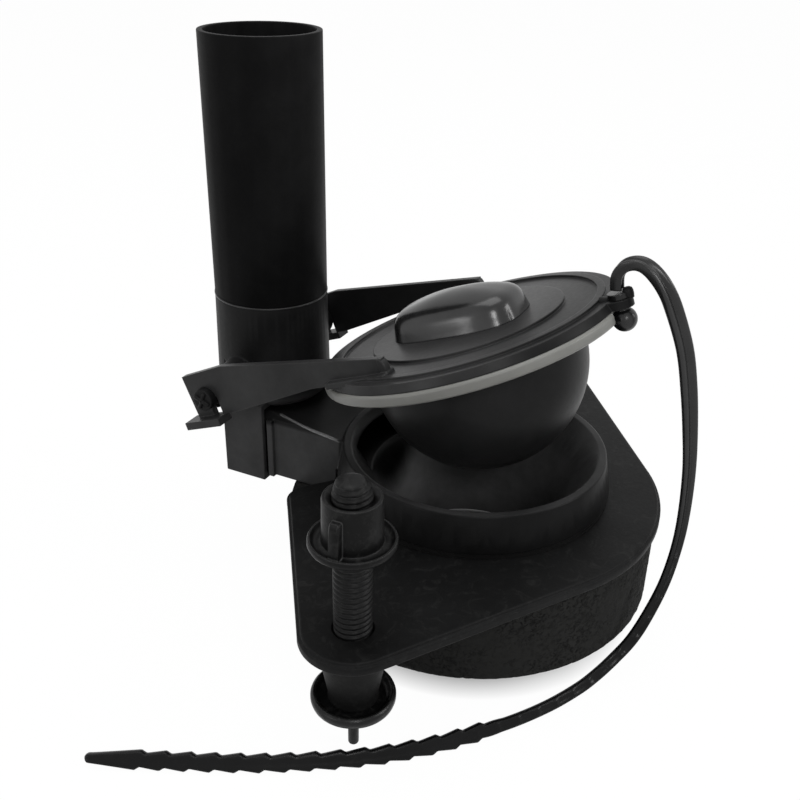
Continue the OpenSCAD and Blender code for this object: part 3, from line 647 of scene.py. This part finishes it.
def inNotch(x, y, look):
    if y < look["notchRoot"]:
        return False
    return abs(x) < look["notchHalf"] + (y - look["notchRoot"]) / math.tan(math.radians(look["notchAngle"]))


def pitAt(spot, look):
    rough = noise.fractal(spot * look["roughScale"], 1.0, look["roughRatio"], look["roughLayers"])
    hole = noise.noise(spot * look["holeScale"] + Vector(look["holeShift"])) - look["holeFrom"]
    deep = look["pitBase"] + rough * look["roughRise"] + max(0.0, hole) * look["holeRise"]
    return max(0.0, min(look["pit"], deep))


def buildGasket(look):
    outer, inner, high = look["outer"], look["inner"], look["height"]
    near, far = (inner + ring for ring in look["rings"])
    profile = [(inner, 0.0), (near, 0.0), (far, 0.0)]
    profile += [(outer, high * k / look["rows"]) for k in range(look["rows"] + 1)]
    profile += [(outer - look["topRing"], high), (far, high), (near, high), (inner, high)]
    verts, faces = lathe(profile, look["around"])
    shaped = []
    for x, y, z in verts:
        r = math.hypot(x, y)
        if r > outer - look["wallSlack"]:
            r -= pitAt(Vector((x, y, z)), look)
            r -= look["edgeRound"] * max(0.0, 1 - min(z, high - z) / look["edgeRun"])
        if z > look["notchFloor"] and inNotch(x, y, look):
            z = look["notchFloor"]
        angle = math.atan2(y, x)
        shaped.append((r * math.cos(angle) * mm, r * math.sin(angle) * mm, z * mm))
    return newPiece("spongeGasket", shaped, faces)


spongeGasket = buildGasket(gasketLook)
wear(spongeGasket, "sponge")
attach(spongeGasket, "valve_body")
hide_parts("sponge_gasket")
print("gasket pitted")

# dome on the disc: leaning sides, a soft shoulder and a long crown, in the disc's mm
domeLook = {
    "across": 12.2, "along": 18.3, "shift": 1.6, "square": 3.0, "base": 0.8, "height": 9.4, "apex": -2.2,
    # shares of the width and the length, and the height
    "walls": [(1.0, 1.0, 0.0), (0.985, 0.992, 0.6), (0.955, 0.978, 2.0), (0.925, 0.962, 3.4),
              (0.895, 0.945, 4.5), (0.86, 0.922, 5.3), (0.815, 0.89, 6.0), (0.76, 0.85, 6.55),
              (0.70, 0.80, 7.0)],
    "crownSteps": 22, "crownPower": 1.9, "around": 120, "smooth": 50,
}


def buildDome(look):
    power = 2 / look["square"]
    outline = []
    for k in range(look["around"]):
        turn = 2 * math.pi * k / look["around"]
        c, t = math.cos(turn), math.sin(turn)
        outline.append((look["across"] * math.copysign(abs(c) ** power, c),
                        look["along"] * math.copysign(abs(t) ** power, t)))
    first = look["walls"][-1]
    levels = [(wide, long, z, 0.0) for wide, long, z in look["walls"]]
    for k in range(1, look["crownSteps"]):
        left = 1 - k / look["crownSteps"]
        rise = (look["height"] - first[2]) * (1 - left ** look["crownPower"])
        levels.append((first[0] * left, first[1] * left, first[2] + rise, 1 - left))
    verts, faces = [], []
    for wide, long, z, drift in levels:
        middle = look["shift"] + look["apex"] * drift
        verts += [onFlapper((x * wide, y * long + middle, z + look["base"])) for x, y in outline]
    verts.append(onFlapper((0, look["shift"] + look["apex"], look["height"] + look["base"])))
    n = look["around"]
    for a in range(len(levels) - 1):
        faces += [(a * n + k, a * n + (k + 1) % n, a * n + n + (k + 1) % n, a * n + n + k) for k in range(n)]
    top = (len(levels) - 1) * n
    faces += [(top + k, top + (k + 1) % n, len(verts) - 1) for k in range(n)]
    faces.append(tuple(reversed(range(n))))
    return newPiece("floatDome", verts, faces)


floatDome = wear(buildDome(domeLook), "dome")
smoothByAngle(floatDome, domeLook["smooth"])
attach(floatDome, "flapper")
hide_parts("float_dome")
print("dome crowned")

# cup washers with a rolled rim, in mm
cupLook = {
    "side": 70.5, "around": 72, "smooth": 40,
    "profile": [(4.55, 4.7), (8.3, 4.7), (9.3, 5.0), (9.9, 5.6), (10.15, 6.4), (10.15, 7.2), (9.95, 7.75),
                (9.5, 8.05), (9.0, 7.95), (8.65, 7.5), (8.4, 6.9), (7.9, 6.5), (7.2, 6.3), (4.55, 6.3)],
}
for side, nodeName, pieceName in ((-1, "cup_washer_left", "cupLeft"), (1, "cup_washer_right", "cupRight")):
    verts, faces = lathe(cupLook["profile"], cupLook["around"])
    cup = newPiece(pieceName, inMetres(shifted(verts, (side * cupLook["side"], 0, 0))), faces)
    smoothByAngle(cup, cupLook["smooth"])
    wear(cup, "cup")
    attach(cup, "valve_body")
    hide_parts(nodeName)
print("cup washers turned")

# tapered bushes, narrow at the cup and wide under the plate, in mm
bushLook = {
    "side": 70.5, "around": 72, "smooth": 40,
    "profile": [(4.6, 6.35), (5.5, 6.35), (5.95, 6.6), (6.1, 7.1), (5.95, 7.6), (6.1, 9.0), (6.8, 13.0),
                (7.7, 18.0), (8.25, 21.5), (8.4, 23.0), (8.3, 23.6), (8.0, 23.95), (4.6, 23.95)],
}
for side, nodeName, pieceName in ((-1, "taper_bush_left", "bushLeft"), (1, "taper_bush_right", "bushRight")):
    verts, faces = lathe(bushLook["profile"], bushLook["around"])
    bush = newPiece(pieceName, inMetres(shifted(verts, (side * bushLook["side"], 0, 0))), faces)
    smoothByAngle(bush, bushLook["smooth"])
    wear(bush, "rubber")
    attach(bush, "valve_body")
    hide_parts(nodeName)
print("bushes turned")

# hand nuts: a hub with a chamfered mouth on a saucer flange, and two gussets, in mm
nutLook = {
    "side": 70.5, "foot": 49.9, "around": 80, "smooth": 45,
    "profile": [(4.6, 0.0), (8.9, 0.0), (9.6, 0.25), (9.9, 0.8), (9.9, 1.6), (9.7, 2.0), (9.35, 2.1),
                (9.05, 1.85), (8.8, 1.35), (8.3, 1.15), (7.4, 1.15), (6.95, 1.4), (6.8, 2.0), (6.65, 11.9),
                (6.5, 12.4), (6.1, 12.6), (5.7, 12.5), (4.75, 11.6), (4.6, 11.4)],
    "gusset": [(6.3, 0.4), (9.0, 0.4), (9.0, 1.6), (8.55, 8.0), (8.3, 9.4), (7.9, 10.0), (6.3, 10.0)],
    "gussetHalf": 1.2, "gussetSoft": 0.3, "gussetSoftOut": 7, "gussetSoftUp": 9,
}


def buildNut(look, pieceName, side):
    parts = [lathe(look["profile"], look["around"])]
    outline, half, soft = look["gusset"], look["gussetHalf"], look["gussetSoft"]
    n = len(outline)
    for face in (1, -1):
        verts = []
        for y, inset in ((-half, soft), (-half + soft, 0), (half - soft, 0), (half, soft)):
            verts += [(face * (x - inset if x > look["gussetSoftOut"] else x), y,
                       z - (inset if z > look["gussetSoftUp"] else 0)) for x, z in outline]
        faces = [(a + k, a + (k + 1) % n, a + n + (k + 1) % n, a + n + k)
                 for a in (0, n, 2 * n) for k in range(n)]
        parts.append((verts, faces + [tuple(range(n)), tuple(range(3 * n, 4 * n))]))
    verts, faces = joined(parts)
    return newPiece(pieceName, inMetres(shifted(verts, (side * look["side"], 0, look["foot"]))), faces)


for side, nodeName, pieceName in ((-1, "nut_left", "nutLeft"), (1, "nut_right", "nutRight")):
    nut = wear(buildNut(nutLook, pieceName, side), "fixing")
    smoothByAngle(nut, nutLook["smooth"])
    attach(nut, nodeName)
    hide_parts(nodeName)
print("nuts turned")


def bar(path, halfWidth, height, up, side, ends=0.6):
    # a rounded rib along a path, flat underneath, drawn in at both ends
    shape = [(-1, 0), (-0.96, 0.45), (-0.72, 0.84), (-0.3, 1.0), (0.3, 1.0), (0.72, 0.84), (0.96, 0.45), (1, 0)]
    verts, faces = [], []
    last = len(path) - 1
    for i, p in enumerate(path):
        size = ends if i in (0, last) else 1.0
        verts += [tuple(Vector(p) + Vector(side) * (w * halfWidth * size) + Vector(up) * (h * height * size))
                  for w, h in shape]
    n = len(shape)
    for i in range(last):
        a, b = i * n, (i + 1) * n
        faces += [(a + k, b + k, b + (k + 1) % n, a + (k + 1) % n) for k in range(n)]
    faces += [tuple(range(n)), tuple(reversed(range(last * n, (last + 1) * n)))]
    return verts, faces


# beads along the duct's two top edges, from the bowl's wall to the collar, in mm; their lighter grey finish is
# a painted highlight
beadLook = {
    "side": 16.0, "shoulder": 39.6, "inset": 0.45, "dip": 0.15, "tilt": 0.4, "start": 33.4, "end": 54.6,
    "crest": 38.4, "crestAt": 36.4, "roof": 41.8, "roofAt": 61.5, "bow": 0.1, "bowFrom": 40.0,
    "half": 0.6, "rise": 0.38, "sink": 0.9, "ends": 0.8, "smooth": 60,
    "shares": (0, 0.03, 0.15, 0.3, 0.45, 0.6, 0.75, 0.88, 0.97, 1),
}


def beadPoint(look, side, y):
    slope = (look["roof"] - look["crest"]) / (look["roofAt"] - look["crestAt"])
    roof = look["crest"] + slope * (y - look["crestAt"])
    edge = look["side"] - max(0.0, roof - look["shoulder"]) - look["inset"]
    share = max(0.0, y - look["bowFrom"]) / (look["end"] - look["bowFrom"])
    return Vector((side * edge, y, roof + look["bow"] * share * share - look["dip"]))


for side, pieceName in ((-1, "ductBeadLeft"), (1, "ductBeadRight")):
    run = beadLook["end"] - beadLook["start"]
    out = Vector((side * beadLook["tilt"], 0, 1)).normalized()
    path = [beadPoint(beadLook, side, beadLook["start"] + run * t) - out * beadLook["sink"]
            for t in beadLook["shares"]]
    verts, faces = bar(path, beadLook["half"], beadLook["rise"] + beadLook["sink"], out,
                       (-side * out.z, 0, abs(out.x)), beadLook["ends"])
    bead = newPiece(pieceName, inMetres(verts), faces)
    smoothByAngle(bead, beadLook["smooth"])
    wear(bead, "bead")
    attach(bead, "valve_body")
print("duct beads laid")

# cross ribs on the ends of the hinge pegs, in mm
crossLook = {"end": 34.4, "y": 66.0, "z": 51.6, "turn": 20, "reach": 2.5, "shares": (-1, -0.9, 0, 0.9, 1),
             "half": 0.55, "rise": 0.7, "sink": 0.2, "smooth": 60}
for side, pieceName in ((-1, "pegCrossLeft"), (1, "pegCrossRight")):
    parts = []
    for quarter in (0, 90):
        turn = math.radians(crossLook["turn"] + quarter)
        way = Vector((0, math.cos(turn), math.sin(turn)))
        across = Vector((0, -math.sin(turn), math.cos(turn)))
        middle = Vector((side * (crossLook["end"] - crossLook["sink"]), crossLook["y"], crossLook["z"]))
        path = [middle + way * crossLook["reach"] * t for t in crossLook["shares"]]
        parts.append(bar(path, crossLook["half"], crossLook["rise"] + crossLook["sink"], (side, 0, 0), across))
    verts, faces = joined(parts)
    cross = newPiece(pieceName, inMetres(verts), faces)
    smoothByAngle(cross, crossLook["smooth"])
    wear(cross, "elbow")
    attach(cross, "valve_body")
print("peg ends crossed")

# short rib from the disc's bead towards the lug, and an upturned nub at the lug's end, in the disc's mm
ribLook = {
    "stops": (36.4, 36.76, 38.92), "half": 1.25, "rise": 1.15, "sink": 0.2, "smooth": 55,
    "nubAt": 43.9, "nubAround": 28,
    "nub": [(0.01, -0.3), (1.215, -0.3), (1.35, 0.6), (1.35, 1.5), (1.1475, 2.1), (0.675, 2.42), (0.01, 2.5)],
}


def buildRib(look):
    path = [Vector((0, -y, -look["sink"])) for y in look["stops"]]
    rib = bar(path, look["half"], look["rise"] + look["sink"], (0, 0, 1), (1, 0, 0))
    nubVerts, nubFaces = lathe(look["nub"], look["nubAround"], closed=False)
    verts, faces = joined([rib, (shifted(nubVerts, (0, -look["nubAt"], 0)), nubFaces)])
    return newPiece("lugRib", [onFlapper(v) for v in verts], faces)


lugRib = wear(buildRib(ribLook), "flapper")
smoothByAngle(lugRib, ribLook["smooth"])
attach(lugRib, "flapper")
print("lug ribbed")

# rounded ends of the two arms, with a step in front of each, in the disc's mm
armEndLook = {
    "web": [(7.7, 0.2), (7.7, 1.6), (7.85, 2.8), (8.15, 3.65), (8.7, 4.25), (9.6, 4.6), (9.6, 0.2)],
    "webFrom": 29.95, "webTo": 32.45,
    "step": [(7.6, -0.3), (7.6, 0.55), (7.75, 0.85), (8.05, 0.98), (9.6, 0.98), (9.6, -0.3)],
    "stepFrom": 28.7, "stepTo": 34.5,
    "soft": 0.0002, "softSegments": 2, "softAngle": 50, "smooth": 45,
}


def slab(outline, low, high):
    # an outline in Y and Z, swept along X
    n = len(outline)
    verts = [(x, y, z) for x in (low, high) for y, z in outline]
    faces = [(k, (k + 1) % n, n + (k + 1) % n, n + k) for k in range(n)]
    return verts, faces + [tuple(range(n)), tuple(range(n, 2 * n))]


for side, pieceName in ((-1, "armEndLeft"), (1, "armEndRight")):
    look = armEndLook
    web = slab(look["web"], side * look["webFrom"], side * look["webTo"])
    step = slab(look["step"], side * look["stepFrom"], side * look["stepTo"])
    verts, faces = joined([web, step])
    end = newPiece(pieceName, [onFlapper(v) for v in verts], faces)
    addBevel(end, look["soft"], look["softSegments"], look["softAngle"])
    smoothByAngle(end, look["smooth"])
    wear(end, "flapper")
    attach(end, "flapper")
print("arm ends rounded")

# thin lip where the tube stands in its socket, in mm, its lighter grey a painted highlight
lipLook = {
    "y": 65.0, "joint": 72.7, "around": 96, "smooth": 60,
    "profile": [(15.95, -0.55), (16.1, -0.5), (16.17, -0.32), (16.16, -0.15), (16.07, -0.03), (15.95, 0.0)],
}
verts, faces = lathe(lipLook["profile"], lipLook["around"])
socketLip = newPiece("socketLip", inMetres(shifted(verts, (0, lipLook["y"], lipLook["joint"]))), faces)
smoothByAngle(socketLip, lipLook["smooth"])
wear(socketLip, "lip")
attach(socketLip, "valve_body")
print("socket lip laid")

# hard edges of the kept solids, rounded a little by modifiers that leave their meshes alone
softLook = {
    "widths": {"mounting_plate": 0.00034, "overflow_elbow": 0.00030, "seat_bowl": 0.00040,
               "seal_ring": 0.00022, "overflow_tube": 0.00022},
    "seam": 0.000004, "flatAngle": 0.4, "segments": 3, "angle": 30,
}


def softenNode(name, width, look):
    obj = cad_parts[name]
    weld = obj.modifiers.new("joinSeams", "WELD")
    weld.merge_threshold = look["seam"]
    flat = obj.modifiers.new("mergeFlats", "DECIMATE")
    flat.decimate_type = "DISSOLVE"
    flat.angle_limit = math.radians(look["flatAngle"])
    edge = addBevel(obj, width, look["segments"], look["angle"])
    edge.use_clamp_overlap = False
    edge.harden_normals = True


for name, width in softLook["widths"].items():
    softenNode(name, width, softLook)
print("edges softened:", len(softLook["widths"]))

# floor, backdrop and light
stageLook = {"floor": -0.0089, "half": 3.0, "white": 0.60, "glow": 0.95, "glowLight": 1.03,
             "shadeFrom": 0.038, "shadeTo": 0.050, "skyLight": 0.18, "skySeen": 1.0}


def seenRays(nodes, links):
    # 1 for rays that show the background, straight or in a reflection
    rays = nodes.new("ShaderNodeLightPath").outputs
    seen = joinedMath(nodes, links, "MAXIMUM", rays["Is Camera Ray"], rays["Is Glossy Ray"])
    return joinedMath(nodes, links, "MAXIMUM", seen, rays["Is Transmission Ray"])


def whiteGround(name, look):
    # shaded under the part, and plain white further out
    mat, nodes, links, out = shader(name)
    nodes.remove(out)
    lit = node(nodes, "ShaderNodeBsdfDiffuse", Color=(look["white"],) * 3 + (1,))
    glow = node(nodes, "ShaderNodeEmission", Strength=look["glowLight"])
    reach = lengthOf(nodes, links, nodes.new("ShaderNodeTexCoord").outputs["Object"])
    openFloor = node(nodes, "ShaderNodeMapRange", From_Min=look["shadeFrom"], From_Max=look["shadeTo"],
                     To_Max=look["glow"])
    links.new(reach, openFloor.inputs["Value"])
    share = joinedMath(nodes, links, "MULTIPLY", seenRays(nodes, links), openFloor.outputs["Result"])
    both = nodes.new("ShaderNodeMixShader")
    links.new(share, both.inputs["Fac"])
    links.new(lit.outputs[0], both.inputs[1])
    links.new(glow.outputs[0], both.inputs[2])
    links.new(both.outputs[0], nodes["Material Output"].inputs["Surface"])
    return mat


half, level = stageLook["half"], stageLook["floor"]
corners = [(-half, -half, level), (half, -half, level), (half, half, level), (-half, half, level)]
floor = newPiece("floor", corners, [(0, 1, 2, 3)], smooth=False)
floor.data.materials.append(whiteGround("floorWhite", stageLook))

world = bpy.data.worlds.new("studioWorld")
scene.world = world
world.use_nodes = True
skyNodes, skyLinks = world.node_tree.nodes, world.node_tree.links
sky = skyNodes["Background"]
sky.inputs["Color"].default_value = (1, 1, 1, 1)
sky.inputs["Strength"].default_value = stageLook["skyLight"]
seenSky = node(skyNodes, "ShaderNodeBackground", Color=(1, 1, 1, 1), Strength=stageLook["skySeen"])
skyMix = skyNodes.new("ShaderNodeMixShader")
skyLinks.new(seenRays(skyNodes, skyLinks), skyMix.inputs["Fac"])
skyLinks.new(sky.outputs[0], skyMix.inputs[1])
skyLinks.new(seenSky.outputs[0], skyMix.inputs[2])
skyLinks.new(skyMix.outputs[0], skyNodes["World Output"].inputs["Surface"])


def softLamp(name, place, target, size, watts):
    data = bpy.data.lights.new(name, "AREA")
    data.shape = "RECTANGLE"
    data.size, data.size_y = size
    data.energy = watts
    lamp = bpy.data.objects.new(name, data)
    scene.collection.objects.link(lamp)
    lamp.location = place
    lamp.rotation_euler = (Vector(target) - Vector(place)).to_track_quat("-Z", "Y").to_euler()
    return lamp


lamps = [
    softLamp("topLamp", place=(0.05, 0.10, 1.10), target=(0, 0, 0.05), size=(0.8, 0.8), watts=5.2),
    softLamp("rightLamp", place=(0.25, -0.95, 0.60), target=(0, 0, 0.05), size=(0.35, 0.35), watts=3.6),
    softLamp("leftLamp", place=(-0.90, 0.42, 0.28), target=(0, 0.03, 0.06), size=(0.30, 0.20), watts=1.0),
    softLamp("frontLamp", place=(-0.78, -0.50, 0.66), target=(0, 0, 0.04), size=(0.20, 0.20), watts=2.4),
]
scene.view_settings.view_transform = "Standard"
print("stage and lamps:", len(lamps))
